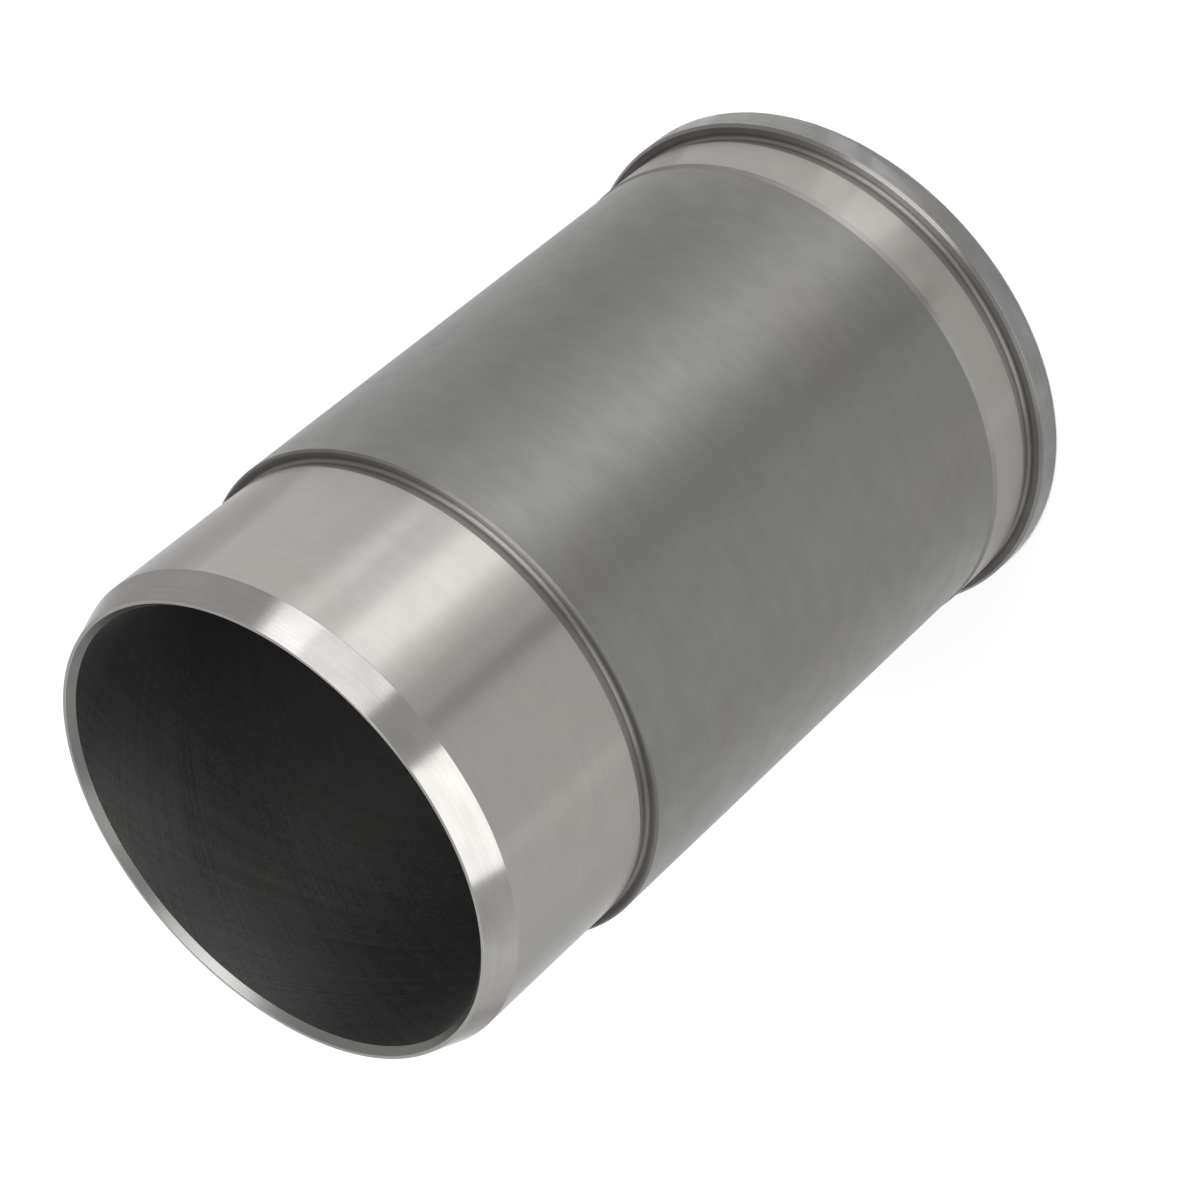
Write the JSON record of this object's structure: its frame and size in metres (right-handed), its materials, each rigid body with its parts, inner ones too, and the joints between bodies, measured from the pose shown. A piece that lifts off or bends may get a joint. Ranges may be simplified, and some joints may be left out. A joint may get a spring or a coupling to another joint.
{
  "type": "cylinder liner",
  "caption": "Flanged wet cylinder liner: a turned tube with a honed bore, a top flange, a ground upper band and a stepped lower pilot with a tapered lead-in.",
  "frame": {"origin": "centre of the flange's gasket face, on which the liner stands", "axes": "+Z along the bore from the gasket face to the pilot end; the liner is round, so X and Y are any two directions across it"},
  "size_m": [0.1185, 0.1184, 0.185],
  "materials": {
    "machined_cast_iron": "Spun-cast grey iron, turned all over, with the pilot and upper band ground and the bore honed."
  },
  "bodies": {
    "root": {"cylinder_liner": "machined_cast_iron"}
  },
  "joints": []
}
